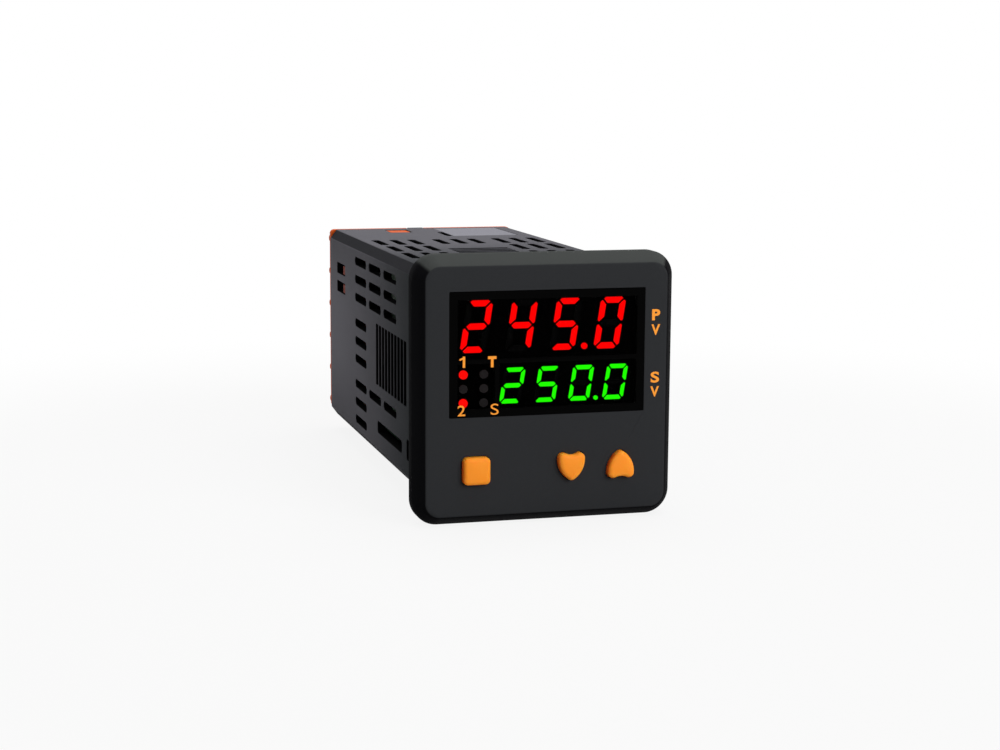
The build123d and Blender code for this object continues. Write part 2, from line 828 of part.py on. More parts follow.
parts["case"] = make_case()
parts["bezel"] = make_bezel()
parts["display_pane"] = make_pane()
for name, (x, outline) in keys.items():
    parts[name + "_key"] = make_key(x, outline)
    parts[name + "_plunger"] = make_plunger(x)
    parts[name + "_switch"] = make_switch(x)
parts["front_board"] = make_front_board()
make_display("process", process_x, process_z, process_digits, process_strokes, process_text)
make_display("setpoint", setpoint_x, setpoint_z, setpoint_digits, setpoint_strokes, setpoint_text)
make_lamps()
parts["control_board"] = make_side_board()
parts["power_board"] = mirror(make_side_board(), about=Plane.YZ)
parts["board_headers"] = both_sides(make_header())
processor_y = (board_back_y, board_back_y + processor_thickness)
parts["processor"] = square_post(processor_side, *processor_y, 0, processor_z)
parts["transformer_core"], parts["transformer_winding"] = make_transformer()
bulk_place = (side_board_end - bulk_capacitor_from_back, side_board_half - bulk_capacitor_from_top)
bulk_height = side_board_x - bulk_capacitor_middle_gap
parts["bulk_capacitor"] = standing(bulk_capacitor_r, bulk_height, *bulk_place)
output_y = side_board_front + output_capacitor_from_front
parts["output_capacitors"] = Part() + [
    standing(output_capacitor_r, output_capacitor_height, output_y, side_board_half - drop)
    for drop in output_capacitors_from_top
]
parts["varistor"] = make_varistor()
fuse_place = (side_board_end - fuse_from_back, fuse_from_bottom - side_board_half)
parts["mains_fuse"] = standing(fuse_r, fuse_height, *fuse_place)
parts["output_relay_1"] = make_relay()
parts["output_relay_2"] = mirror(make_relay(), about=Plane.XY)
converter_place = (side_board_front + converter_from_front, side_board_half - converter_from_top)
parts["input_converter"] = chip(*converter_size, *converter_place)
coupler_y = side_board_end - coupler_from_back
parts["optocouplers"] = Part() + [
    chip(*coupler_size, coupler_y, side_board_half - drop) for drop in couplers_from_top
]
parts["back_cover"] = make_cover()
parts["terminal_plates"] = terminals(terminal_plate())
parts["terminal_clamps"] = terminals(terminal_clamp())
parts["terminal_screws"] = terminals(terminal_screw())
parts["rating_label"] = make_label()

os.makedirs("parts", exist_ok=True)
for name, shape in parts.items():
    shape.label = name
    export_step(shape, f"parts/{name}.step")
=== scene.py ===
"""Dresses a panel-mounting temperature controller and sets it in a plain studio.

Lengths are in millimetres times MM, in the frame of the solids: x to the right seen from the front,
y from the front to the terminals, z up, with the origin in the middle of the panel plane.
"""

from math import cos, pi, radians, sin

import bpy
from bpy.props import FloatProperty, FloatVectorProperty, IntProperty, PointerProperty
from mathutils import Matrix, Vector


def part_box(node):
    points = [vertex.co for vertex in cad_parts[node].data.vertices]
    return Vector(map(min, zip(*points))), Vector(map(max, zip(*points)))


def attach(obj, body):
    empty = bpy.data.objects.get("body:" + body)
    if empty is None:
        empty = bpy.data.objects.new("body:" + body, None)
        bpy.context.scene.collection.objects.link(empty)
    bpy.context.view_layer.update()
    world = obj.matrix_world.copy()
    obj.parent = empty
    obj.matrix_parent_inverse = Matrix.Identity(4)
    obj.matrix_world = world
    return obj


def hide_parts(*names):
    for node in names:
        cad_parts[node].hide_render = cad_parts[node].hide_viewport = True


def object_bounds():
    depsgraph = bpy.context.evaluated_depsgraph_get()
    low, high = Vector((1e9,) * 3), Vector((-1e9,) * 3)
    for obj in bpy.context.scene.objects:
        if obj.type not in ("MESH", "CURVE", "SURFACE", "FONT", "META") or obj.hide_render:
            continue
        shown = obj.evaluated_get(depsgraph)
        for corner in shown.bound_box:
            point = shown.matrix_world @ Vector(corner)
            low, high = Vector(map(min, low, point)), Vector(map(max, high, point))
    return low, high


bl_info = {
    "name": "Temperature Controller Finish",
    "version": (1, 0, 0),
    "blender": (4, 5, 0),
    "location": "3D View > Sidebar > Controller",
    "description": "Gives a temperature controller its finishes, legends, terminals and studio",
    "category": "Object",
}

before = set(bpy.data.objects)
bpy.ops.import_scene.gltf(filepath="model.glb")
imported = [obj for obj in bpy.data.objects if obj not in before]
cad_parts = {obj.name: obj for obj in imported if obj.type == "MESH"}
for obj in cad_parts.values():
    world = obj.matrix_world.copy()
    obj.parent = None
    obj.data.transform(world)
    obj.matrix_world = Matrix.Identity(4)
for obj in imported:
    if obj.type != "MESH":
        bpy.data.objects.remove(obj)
CAD_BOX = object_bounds()

MM = 0.001
CONTROLLER = "controller"
DISPLAYS = ("process_display", "setpoint_display", "lamp_holder")

# Places and sizes of the solids that the finishes follow
FRONT_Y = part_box("display_pane")[0].y
BEZEL_FRONT_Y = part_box("bezel")[0].y
BEZEL_CORNER = 4.5 * MM
CASE_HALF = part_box("case")[1].x

# How far, and which way, the front of each key fills out the hollow in its outline
KEYS = {"set": 0, "down": 0.22 * MM, "up": -0.22 * MM}
# The depth of a key's own bevel, half the width of its hollow, and how far off its middle that is
KEY_BEVEL = 0.6 * MM
HOLLOW_HALF = 1.8 * MM
HOLLOW_FROM = 0.88 * MM
# The steps in which a crown narrows: the share of its size that is left, and of its height
CROWN_STEPS = ((0.75, 0.45), (0.6, 0.35), (0.4, 0.2))

# Specular levels. The dark mouldings have next to none, because a white room veils them
DULL, SATIN, SEMI_GLOSS, GLOSS = 0.005, 0.02, 0.1, 0.3
# How wide the spots of a moulded grain are, and how deep
GRAIN = 0.12 * MM
GRAIN_DEPTH = 0.012 * MM

# Edges sharper than these get a round, or stay sharp where the shading is smooth
ROUND_ANGLE = radians(32)
SHARP_ANGLE = radians(38)
# Points nearer to each other than this are one point
SAME_PLACE = 0.001 * MM


def tone(code):
    """A linear colour from a screen colour such as 0xf78f28."""
    parts = [(code >> shift & 0xFF) / 255 for shift in (16, 8, 0)]
    return tuple(c / 12.92 if c <= 0.04045 else ((c + 0.055) / 1.055) ** 2.4 for c in parts)


def colour_property(name, description, code):
    """A colour that the panel shows, given as a screen colour."""
    return FloatVectorProperty(
        name=name, description=description, subtype="COLOR", size=3, min=0, max=1,
        default=tone(code),
    )


def length_property(name, description, millimetres):
    """A length that the panel shows."""
    return FloatProperty(
        name=name, description=description, subtype="DISTANCE", unit="LENGTH", min=0,
        default=millimetres * MM,
    )


class ControllerColours(bpy.types.PropertyGroup):
    """The colours that a user would change."""

    bezel: colour_property("Bezel", "Flat front of the bezel", 0x2D2E30)
    # Painted shade on the sides and bottom of the bezel's rim
    bezel_rim_painted_shade: colour_property("Bezel rim", "Sloping rim of the bezel", 0x0D0D0F)
    # Painted light from above on the top of the bezel's rim
    bezel_top_painted_light: colour_property("Bezel top", "Rim along the top of the bezel", 0x3C3E3D)
    # Painted shade on the case near the bezel
    case_painted_shade_front: colour_property("Case, front", "Case plastic near the bezel", 0x282B2D)
    # Painted light on the case towards the terminals
    case_painted_light_rear: colour_property("Case, rear", "Case plastic near the terminals", 0x58575C)
    # Painted light on the middle of the sides near the terminals
    case_painted_light_flank: colour_property("Case flanks", "Middle of the sides near the terminals", 0x6B6A70)
    # Painted shade in the vents, the grooves and the inside of the case
    recess_painted_shade: colour_property("Recesses", "Vents, grooves and the inside of the case", 0x09090A)
    # Painted shade on the long edges of the case
    case_edge_painted_shade: colour_property("Case edges", "Long edges of the case", 0x28282B)
    cover: colour_property("Back cover", "Moulding that carries the terminals", 0xC05018)
    # Painted shade on the side catches in the case's windows
    catches: colour_property("Catches", "Side catches of the back cover", 0x641E08)
    keys: colour_property("Keys", "Front keys", 0xFF982C)
    # Painted shade, redder, down the sides of the keys near the bezel
    key_sides_painted_shade: colour_property("Key sides", "Sides of the keys, near the bezel", 0xFF6A1C)
    legends: colour_property("Legends", "Printed ink on the front", 0xF99A2E)
    process_value: colour_property("Process value", "Lit segments of the upper display", 0xFF0000)
    setpoint_value: colour_property("Set value", "Lit segments of the lower display", 0x1EFF00)
    lamp: colour_property("Lamp", "Lit indicator lamp", 0xFF0A06)
    unlit: colour_property("Unlit lens", "Lamp that is off", 0x847C7E)
    pane: colour_property("Pane", "Tinted display window", 0x010101)
    board: colour_property("Circuit board", "Solder mask", 0x14381F)
    label: colour_property("Label", "Bare label on top of the case", 0x6C6B74)


class ControllerDetails(bpy.types.PropertyGroup):
    """The small sizes that a user would change."""

    housing_edge: length_property("Housing edge", "Round on the case's and bezel's edges", 0.14)
    cover_edge: length_property("Cover edge", "Round on the back cover's edges", 0.12)
    key_round: length_property("Key round", "Round along the front edge of a key", 0.75)
    key_crown: length_property("Key crown", "How far the middle of a key stands proud", 0.06)
    metal_edge: length_property("Metal edge", "Round on screws and plates", 0.1)
    edge_steps: IntProperty(name="Edge steps", description="Faces across a round", default=2, min=1)
    pane_tint: FloatProperty(
        name="Pane tint", description="Share of light that the pane stops", subtype="FACTOR",
        default=0.5, min=0, max=1,
    )
    ink_thickness: length_property("Ink thickness", "How proud the legends stand", 0.03)
    number_height: length_property("Terminal number", "Height of the terminal numbers", 1.9)
    number_relief: length_property("Number relief", "How proud the terminal numbers stand", 0.04)


class ControllerStage(bpy.types.PropertyGroup):
    """The studio that the controller is shown in."""

    camera_place: FloatVectorProperty(
        name="Camera place", description="Where the camera stands", subtype="TRANSLATION",
        unit="LENGTH", size=3, default=(-97.808 * MM, -326.240 * MM, 55.783 * MM),
    )
    camera_yaw: FloatProperty(
        name="Yaw", description="Turn to the right of straight ahead", subtype="ANGLE",
        unit="ROTATION", default=radians(15.509),
    )
    camera_pitch: FloatProperty(
        name="Pitch", description="Tilt down from level", subtype="ANGLE", unit="ROTATION",
        default=radians(9.0226),
    )
    camera_roll: FloatProperty(
        name="Roll", description="Lean of the picture", subtype="ANGLE", unit="ROTATION",
        default=radians(0.353),
    )
    lens: FloatProperty(
        name="Lens", description="Focal length on a 36 mm sensor", subtype="DISTANCE_CAMERA",
        default=69.23,
    )
    ambient: FloatProperty(
        name="Ambient", description="Light from all round", subtype="FACTOR", default=0.25,
        min=0, soft_max=2,
    )
    floor_side: FloatProperty(
        name="Floor", description="Side of the floor", subtype="DISTANCE", unit="LENGTH",
        default=6.0,
    )


class Link:
    """An output in a node tree, so that shader maths is written as an expression."""

    def __init__(self, tree, socket):
        self.tree = tree
        self.socket = socket

    def math(self, operation, first, second):
        return self.tree.node("ShaderNodeMath", {"operation": operation}, {0: first, 1: second})

    def __add__(self, other):
        return self.math("ADD", self, other)

    def __sub__(self, other):
        return self.math("SUBTRACT", self, other)

    def __rsub__(self, other):
        return self.math("SUBTRACT", other, self)

    def __mul__(self, other):
        return self.math("MULTIPLY", self, other)

    def __abs__(self):
        return self.math("ABSOLUTE", self, 0)

    def highest(self, other):
        return self.math("MAXIMUM", self, other)

    def lowest(self, other):
        return self.math("MINIMUM", self, other)

    __radd__ = __add__
    __rmul__ = __mul__


class Tree:
    """A node tree under construction."""

    def __init__(self, tree):
        self.tree = tree

    def node(self, kind, settings=None, sockets=None, out=0):
        """Adds a node: its settings, then values or links for its sockets. Gives one output."""
        node = self.tree.nodes.new(kind)
        for key, value in (settings or {}).items():
            setattr(node, key, value)
        self.fill(node, sockets or {})
        return Link(self, node.outputs[out])

    def fill(self, node, sockets):
        """Links or sets a node's sockets."""
        for key, value in sockets.items():
            if isinstance(value, Link):
                self.tree.links.new(value.socket, node.inputs[key])
            else:
                node.inputs[key].default_value = value

    def length(self, vector):
        """How long a vector is."""
        return self.node("ShaderNodeVectorMath", {"operation": "LENGTH"}, {0: vector}, out=1)


class Finish(Tree):
    """A material under construction, which reads places on the object itself."""

    def __init__(self, name):
        self.material = bpy.data.materials.new(name)
        self.material.use_nodes = True
        super().__init__(self.material.node_tree)
        self.surface = self.tree.nodes["Principled BSDF"]
        self.place = self.node("ShaderNodeTexCoord", out="Object")

    def set(self, **sockets):
        """Sets the surface's sockets, given with underscores for spaces."""
        self.fill(self.surface, {key.replace("_", " "): value for key, value in sockets.items()})

    def noise(self, size, detail=2, stretch=(1, 1, 1)):
        """Noise whose spots are about a size across, wider along an axis with a small stretch."""
        sockets = {0: self.place, 1: stretch}
        place = self.node("ShaderNodeVectorMath", {"operation": "MULTIPLY"}, sockets)
        sockets = {"Vector": place, "Scale": 1 / size, "Detail": detail}
        return self.node("ShaderNodeTexNoise", {}, sockets)

    def along(self, axis):
        """The place along an axis, in metres."""
        return self.node("ShaderNodeSeparateXYZ", {}, {0: self.place}, out=axis)

    def step(self, value, low, high):
        """Rises smoothly from 0 to 1 between two values."""
        sockets = {0: value, 1: low, 2: high}
        return self.node("ShaderNodeMapRange", {"interpolation_type": "SMOOTHSTEP"}, sockets)

    def mix(self, share, first, second):
        """One colour turning into another."""
        colours = [c if isinstance(c, Link) else (*c, 1) for c in (first, second)]
        sockets = {0: share, 6: colours[0], 7: colours[1]}
        return self.node("ShaderNodeMix", {"data_type": "RGBA"}, sockets, out=2)

    def bump(self, height, depth):
        """Relief that is as deep as given where the height is 1."""
        return self.node("ShaderNodeBump", {}, {"Height": height, "Distance": depth})


def shade(colour, factor):
    """A colour made darker or lighter."""
    return tuple(min(1, c * factor) for c in colour)


class Moulding(Finish):
    """Moulded plastic with a fine grain and faint drifts of gloss, still without a colour."""

    def __init__(self, name, roughness, specular=GLOSS, grain_depth=GRAIN_DEPTH):
        super().__init__(name)
        self.drift = self.noise(14 * MM)
        self.speckle = self.noise(GRAIN, 3)
        self.set(
            Roughness=self.drift * 0.1 + self.speckle * 0.08 + (roughness - 0.09),
            Normal=self.bump(self.speckle, grain_depth),
            Specular_IOR_Level=specular,
        )


def moulded(name, colour, roughness, specular=GLOSS):
    """Plain moulded plastic, with faint drifts of tone."""
    finish = Moulding(name, roughness, specular)
    patches = finish.drift * 0.7 + finish.speckle * 0.3
    finish.set(Base_Color=finish.mix(patches, shade(colour, 0.86), shade(colour, 1.12)))
    return finish.material


def case_plastic(colours):
    """Case moulding with painted shade near the bezel, and painted light, lighter and warmer,
    towards the terminals and on the flanks, and painted shade below its outer faces and on its long
    edges.
    """
    rear_turn = (5 * MM, 62 * MM)
    flank_turn = (45 * MM, 92 * MM)
    flank_spread = (0, CASE_HALF * 0.8)
    skin_depth = (0.03 * MM, 0.14 * MM)
    edge_reach = (CASE_HALF - 2.2 * MM, CASE_HALF - 1.6 * MM)
    finish = Moulding("case_plastic", 0.6, DULL)
    along, across, upright = finish.along("Y"), abs(finish.along("X")), abs(finish.along("Z"))
    drift = finish.noise(9 * MM) * 0.2 - 0.1
    # Painted shade near the bezel turns into painted light towards the terminals
    rear = finish.step(along, *rear_turn) + drift
    skin = finish.mix(rear, colours.case_painted_shade_front, colours.case_painted_light_rear)
    # Painted light on the middle of the sides near the terminals
    flank = finish.step(across - upright, *flank_spread) * finish.step(along, *flank_turn)
    skin = finish.mix(flank, skin, colours.case_painted_light_flank)
    # Painted shade below the outer faces: in the recesses, and on the long edges
    painted_shade_share = finish.step(CASE_HALF - across.highest(upright), *skin_depth)
    edge = finish.step(across.lowest(upright), *edge_reach)
    below = finish.mix(edge, colours.recess_painted_shade, colours.case_edge_painted_shade)
    finish.set(Base_Color=finish.mix(painted_shade_share, skin, below))
    return finish.material


def bezel_plastic(colours):
    """Bezel moulding: a flat front, and a sloping rim with painted shade, darker except along the
    top, where it has painted light from above.
    """
    rim_width, rim_blend = 1.95 * MM, 0.25 * MM
    top_blend = 0.6 * MM
    finish = Moulding("bezel_plastic", 0.6, DULL)
    across, height = abs(finish.along("X")), finish.along("Z")
    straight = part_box("bezel")[1].x - BEZEL_CORNER
    beside = [(distance - straight).highest(0) for distance in (across, abs(height))]
    corner = finish.node("ShaderNodeCombineXYZ", {}, {0: beside[0], 1: beside[1]})
    rim_start = BEZEL_CORNER - rim_width
    rim = finish.step(finish.length(corner), rim_start, rim_start + rim_blend)
    # The rim takes painted shade on its sides and bottom, and painted light along its top
    top = finish.step(height - across, -top_blend, top_blend)
    fleck = finish.noise(0.2 * MM, 3)
    dark = finish.mix(top, colours.bezel_rim_painted_shade, colours.bezel_top_painted_light)
    flat = finish.mix(fleck, shade(colours.bezel, 0.93), shade(colours.bezel, 1.07))
    finish.set(Base_Color=finish.mix(rim, flat, dark))
    return finish.material


def cover_plastic(colours):
    """Back cover moulding, with painted shade, deeper in colour, on the catches in the case's side
    windows.
    """
    window_end, window_blend = 87 * MM, 2 * MM
    finish = Moulding("cover_plastic", 0.5, SATIN)
    patches = finish.noise(5 * MM) * 0.7 + finish.speckle * 0.3
    skin = finish.mix(patches, shade(colours.cover, 0.88), shade(colours.cover, 1.1))
    # Painted shade on the catches, in the case's side windows
    beside = finish.step(abs(finish.along("X")) - abs(finish.along("Z")), 0, window_blend)
    inside = finish.step(finish.along("Y"), window_end + window_blend, window_end)
    finish.set(Base_Color=finish.mix(beside * inside, skin, colours.catches))
    return finish.material


def key_plastic(colours):
    """Satin key plastic that lets a little light in, with painted shade, redder, down the sides of
    a key near the bezel, left off its top side, which the light from above reaches.
    """
    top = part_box("set_key")[1].z
    upper_start, upper_end = top - 1.8 * MM, top - 1.1 * MM
    side_start, side_end = BEZEL_FRONT_Y - 1.3 * MM, BEZEL_FRONT_Y - 0.5 * MM
    finish = Moulding("key_plastic", 0.5, SEMI_GLOSS, GRAIN_DEPTH / 3)
    # Painted shade down the sides near the bezel, left off the top side, which the light from above
    # reaches
    upper = finish.step(finish.along("Z"), upper_start, upper_end)
    painted_shade_share = finish.step(finish.along("Y"), side_start, side_end) * (1 - upper)
    fleck = finish.noise(0.3 * MM, 3)
    cap = finish.mix(fleck, shade(colours.keys, 0.97), shade(colours.keys, 1.02))
    finish.set(
        Base_Color=finish.mix(painted_shade_share, cap, colours.key_sides_painted_shade),
        Subsurface_Weight=0.6,
        Subsurface_Radius=(1.0, 0.4, 0.15),
        Subsurface_Scale=0.8 * MM,
    )
    return finish.material


def printed_ink(colours):
    """Screen-printed ink, with a slightly uneven film."""
    finish = Finish("legend_ink")
    film = finish.noise(0.25 * MM, 3)
    ink = colours.legends
    finish.set(
        Base_Color=finish.mix(film, shade(ink, 0.94), shade(ink, 1.05)),
        Roughness=film * 0.2 + 0.35,
        Specular_IOR_Level=0.2,
    )
    return finish.material


def tinted_pane(colours, tint):
    """Black tinted acrylic, printed solid black except over the displays and the lamps."""
    margin, blend = 0.4 * MM, 0.1 * MM
    finish = Finish("tinted_pane")
    haze = finish.noise(6 * MM)
    pane = colours.pane
    clear = 0
    for node in DISPLAYS:
        low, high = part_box(node)
        middle, half = (low + high) / 2, (high - low) / 2
        beside = [
            abs(finish.along(axis) - middle[i]) - (half[i] - margin)
            for axis, i in (("X", 0), ("Z", 2))
        ]
        clear = finish.step(beside[0].highest(beside[1]), blend, -blend) + clear
    finish.set(
        Base_Color=finish.mix(haze, shade(pane, 0.7), shade(pane, 1.2)),
        Roughness=haze * 0.05 + 0.2,
        Specular_IOR_Level=SATIN,
        Alpha=1 - clear * (1 - tint),
    )
    return finish.material


def lens(name, colour, glow=0):
    """A frosted lens over a lamp or a segment, lit where it has a glow."""
    finish = Finish(name)
    frost = finish.noise(0.3 * MM)
    finish.set(
        Base_Color=finish.mix(frost, shade(colour, 0.85), shade(colour, 1.1)),
        Roughness=frost * 0.15 + 0.3,
        Specular_IOR_Level=0.15,
    )
    if glow:
        light = finish.mix(frost, shade(colour, 0.97), colour)
        finish.set(Emission_Color=light, Emission_Strength=glow)
    return finish.material


def circuit_board(colours):
    """Solder mask, lighter and glossier over its raised tracks."""
    track_pitch = 2.4 * MM
    track_edge = (0.16, 0.1)
    finish = Finish("circuit_board")
    sockets = {"Vector": finish.place, "Scale": 1 / track_pitch, "Randomness": 0.6}
    cell = finish.node("ShaderNodeTexVoronoi", {"feature": "DISTANCE_TO_EDGE"}, sockets)
    track = finish.step(cell, *track_edge)
    mask = colours.board
    finish.set(
        Base_Color=finish.mix(track, shade(mask, 0.75), shade(mask, 1.4)),
        Roughness=track * -0.1 + 0.42,
        Normal=finish.bump(track, 0.03 * MM),
    )
    return finish.material


def metal(name, colour, roughness, grain=(1, 1, 1)):
    """Plated or rolled metal, with a grain and slight tarnish."""
    finish = Finish(name)
    brushed = finish.noise(0.15 * MM, 4, grain)
    tarnish = finish.noise(3 * MM)
    finish.set(
        Base_Color=finish.mix(tarnish, shade(colour, 0.8), colour),
        Roughness=brushed * 0.16 + tarnish * 0.08 + (roughness - 0.12),
        Metallic=1.0,
        Normal=finish.bump(brushed, 0.004 * MM),
    )
    return finish.material


def select_only(obj):
    """Leaves one object selected and active."""
    bpy.ops.object.select_all(action="DESELECT")
    obj.select_set(True)
    bpy.context.view_layer.objects.active = obj


def apply_modifier(obj, kind, **settings):
    """Adds a modifier, sets it and applies it."""
    select_only(obj)
    modifier = obj.modifiers.new(kind.lower(), kind)
    for key, value in settings.items():
        setattr(modifier, key, value)
    bpy.ops.object.modifier_apply(modifier=modifier.name)


def merged_copy(node):
    """A copy of a solid with its loose triangles merged."""
    piece = bpy.data.objects.new(node + "_finished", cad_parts[node].data.copy())
    bpy.context.scene.collection.objects.link(piece)
    select_only(piece)
    bpy.ops.object.mode_set(mode="EDIT")
    bpy.ops.mesh.select_all(action="SELECT")
    bpy.ops.mesh.remove_doubles(threshold=SAME_PLACE)
    bpy.ops.object.mode_set(mode="OBJECT")
    if piece.data.has_custom_normals:
        bpy.ops.mesh.customdata_custom_splitnormals_clear()
    return piece


def smooth(piece, bevelled=False):
    """Smooth shading that leaves flat faces flat and sharp edges sharp."""
    select_only(piece)
    bpy.ops.object.shade_smooth_by_angle(angle=SHARP_ANGLE)
    apply_modifier(
        piece, "WEIGHTED_NORMAL", mode="FACE_AREA", weight=100, keep_sharp=True,
        use_face_influence=bevelled,
    )


def soften(piece, width, steps, spared=lambda point: False):
    """Gives a piece a small round along each sharp edge, except at spared points."""
    select_only(piece)
    bpy.ops.object.mode_set(mode="EDIT")
    bpy.ops.mesh.select_mode(type="EDGE")
    bpy.ops.mesh.select_all(action="DESELECT")
    bpy.ops.mesh.edges_select_sharp(sharpness=ROUND_ANGLE)
    bpy.ops.object.mode_set(mode="OBJECT")
    points = piece.data.vertices
    weights = piece.data.attributes.new("bevel_weight_edge", "FLOAT", "EDGE")
    for edge, weight in zip(piece.data.edges, weights.data):
        weight.value = edge.select and not any(spared(points[i].co) for i in edge.vertices)
    apply_modifier(
        piece, "BEVEL", width=width, segments=steps, limit_method="WEIGHT",
        use_clamp_overlap=False, miter_outer="MITER_ARC", face_strength_mode="FSTR_ALL",
    )
    smooth(piece, bevelled=True)
    return piece


def soft_copy(node, *rounds):
    """A softened copy of a solid: the width and steps of its rounds, and the points to spare."""
    return soften(merged_copy(node), *rounds)


def pick(piece, wanted):
    """Selects the points that are wanted, and leaves the piece in edit mode with points to pick."""
    bpy.ops.object.mode_set(mode="EDIT")
    bpy.ops.mesh.select_mode(type="VERT")
    bpy.ops.mesh.select_all(action="DESELECT")
    bpy.ops.object.mode_set(mode="OBJECT")
    for vertex in piece.data.vertices:
        vertex.select = wanted(vertex.co)
    bpy.ops.object.mode_set(mode="EDIT")


def nudge(piece, wanted, offset):
    """Moves the points that are wanted."""
    pick(piece, wanted)
    bpy.ops.transform.translate(value=offset)
    bpy.ops.object.mode_set(mode="OBJECT")


def key_cap(node, rounding, crown, fill):
    """A copy of a key with a round front edge, a slight crown and a filled-out hollow."""
    steps = 6
    near = 0.01 * MM
    cap = merged_copy(node)
    low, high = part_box(node)
    middle = (low + high) / 2
    front = low.y
    rim = front + KEY_BEVEL
    side = (fill > 0) - (fill < 0)
    pick(cap, lambda point: point.y < rim - near)
    bpy.ops.mesh.delete(type="VERT")
    pick(cap, lambda point: point.y < rim + near)
    bpy.ops.mesh.remove_doubles(threshold=2 * near)
    bpy.ops.transform.translate(value=(0, front + crown + rounding - rim, 0))
    bpy.ops.object.mode_set(mode="OBJECT")
    for vertex in cap.data.vertices:
        beside = abs(vertex.co.x - middle.x) / HOLLOW_HALF
        above = (vertex.co.z - middle.z) * side
        if vertex.select and beside < 1 and above > HOLLOW_FROM:
            vertex.co.z += fill * cos(pi / 2 * beside) ** 2
    bpy.ops.object.mode_set(mode="EDIT")
    bpy.ops.mesh.edge_face_add()
    turns = [pi / 2 * i / steps for i in range(steps + 1)]
    for before, after in zip(turns, turns[1:]):
        inwards, outwards = cos(before) - cos(after), sin(after) - sin(before)
        bpy.ops.mesh.inset(thickness=rounding * inwards, depth=rounding * outwards)
    for size, rise in CROWN_STEPS:
        forward = (0, -crown * rise, 0)
        bpy.ops.mesh.extrude_region_move(TRANSFORM_OT_translate={"value": forward})
        bpy.ops.transform.resize(value=(size, 1, size), center_override=middle)
    bpy.ops.mesh.select_all(action="SELECT")
    bpy.ops.mesh.normals_make_consistent(inside=False)
    bpy.ops.object.mode_set(mode="OBJECT")
    smooth(cap)
    return cap


def dress(node, material):
    """Gives a solid's own object a finish."""
    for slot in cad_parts[node].material_slots:
        slot.material = material


def show(piece, material, body, slot, *nodes):
    """Finishes a new piece: its material, what it rides on and which solids it stands for."""
    piece.data.materials.clear()
    piece.data.materials.append(material)
    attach(piece, body)
    if nodes:
        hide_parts(*nodes)


def lettering(text, name, bold):
    """Flat lettering as a mesh that stands in the x-z plane and reads from the front."""
    bpy.ops.object.select_all(action="DESELECT")
    bpy.ops.object.text_add(rotation=(pi / 2, 0, 0))
    letters = bpy.context.object
    letters.name = name
    letters.data.body = text
    letters.data.offset = bold
    letters.data.extrude = 0.5
    bpy.ops.object.convert(target="MESH")
    return letters


def numeral_one(name):
    """A 1, as a mesh one unit wide and high: a stem, and a flag pulled out of its side."""
    stem = 0.42
    flag_top, flag_bottom = 0.9, 0.74
    flag_slope = 0.12
    bpy.ops.object.select_all(action="DESELECT")
    middle = (1 - stem / 2, 0.5, 0.5)
    bpy.ops.mesh.primitive_cube_add(size=1, location=middle, scale=(stem, 1, 1))
    one = bpy.context.object
    one.name = name
    bpy.ops.object.transform_apply(location=True, rotation=True, scale=True)
    bpy.ops.object.mode_set(mode="EDIT")
    for height in (flag_top, flag_bottom):
        bpy.ops.mesh.select_all(action="SELECT")
        bpy.ops.mesh.bisect(plane_co=(0, 0, height), plane_no=(0, 0, 1))
    bpy.ops.mesh.select_all(action="DESELECT")
    bpy.ops.object.mode_set(mode="OBJECT")
    for face in one.data.polygons:
        face.select = face.normal.x < -0.5 and flag_bottom < face.center.z < flag_top
    bpy.ops.object.mode_set(mode="EDIT")
    outwards = (stem - 1, 0, -flag_slope)
    bpy.ops.mesh.extrude_region_move(TRANSFORM_OT_translate={"value": outwards})
    bpy.ops.object.mode_set(mode="OBJECT")
    return one


def character(text, name, bold):
    """Flat lettering, in which a 1 has the flag that the built-in letters leave out."""
    return numeral_one(name) if text == "1" else lettering(text, name, bold)


def fit(letters, low, high, behind=False):
    """Sizes and places lettering between two corners, turned round if it is read from behind."""
    select_only(letters)
    if behind:
        letters.rotation_euler.z += pi
    bpy.ops.object.transform_apply(location=True, rotation=True, scale=True)
    corners = [v.co for v in letters.data.vertices]
    start = Vector([min(c[i] for c in corners) for i in range(3)])
    size = Vector([max(c[i] for c in corners) for i in range(3)]) - start
    letters.data.transform(Matrix.Translation(-start))
    scale = [(high[i] - low[i]) / size[i] for i in range(3)]
    bpy.ops.transform.resize(value=scale)
    bpy.ops.object.transform_apply(location=True, rotation=True, scale=True)
    letters.data.transform(Matrix.Translation(low))


class CONTROLLER_OT_housing(bpy.types.Operator):
    """Give the case and the bezel rounded edges and grained plastic"""

    bl_idname = "controller.housing"
    bl_label = "Housing"

    def execute(self, context):
        colours = context.scene.controller_colours
        details = context.scene.controller_details
        case = soft_copy("case", details.housing_edge, details.edge_steps)
        show(case, case_plastic(colours), CONTROLLER, "case_plastic", "case")
        bezel = soft_copy("bezel", details.housing_edge, details.edge_steps, self.beside_keys)
        show(bezel, bezel_plastic(colours), CONTROLLER, "bezel_plastic", "bezel")
        return {"FINISHED"}

    @staticmethod
    def beside_keys(point):
        """True in the band of the bezel that holds the key openings, whose edges stay crisp."""
        margin = 2 * MM
        low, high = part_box("set_key")
        return low.z < point.z < high.z and abs(point.x) < margin - low.x


class CONTROLLER_OT_keys(bpy.types.Operator):
    """Give the three keys soft caps"""

    bl_idname = "controller.keys"
    bl_label = "Keys"

    def execute(self, context):
        details = context.scene.controller_details
        satin = key_plastic(context.scene.controller_colours)
        plunger = moulded("plunger_plastic", tone(0xD8D6CE), 0.4)
        switch = moulded("switch_body", tone(0x202022), 0.5)
        for key, fill in KEYS.items():
            cap = key_cap(key + "_key", details.key_round, details.key_crown, fill)
            show(cap, satin, key + " key", "key_plastic", key + "_key")
            dress(key + "_plunger", plunger)
            dress(key + "_switch", switch)
        return {"FINISHED"}


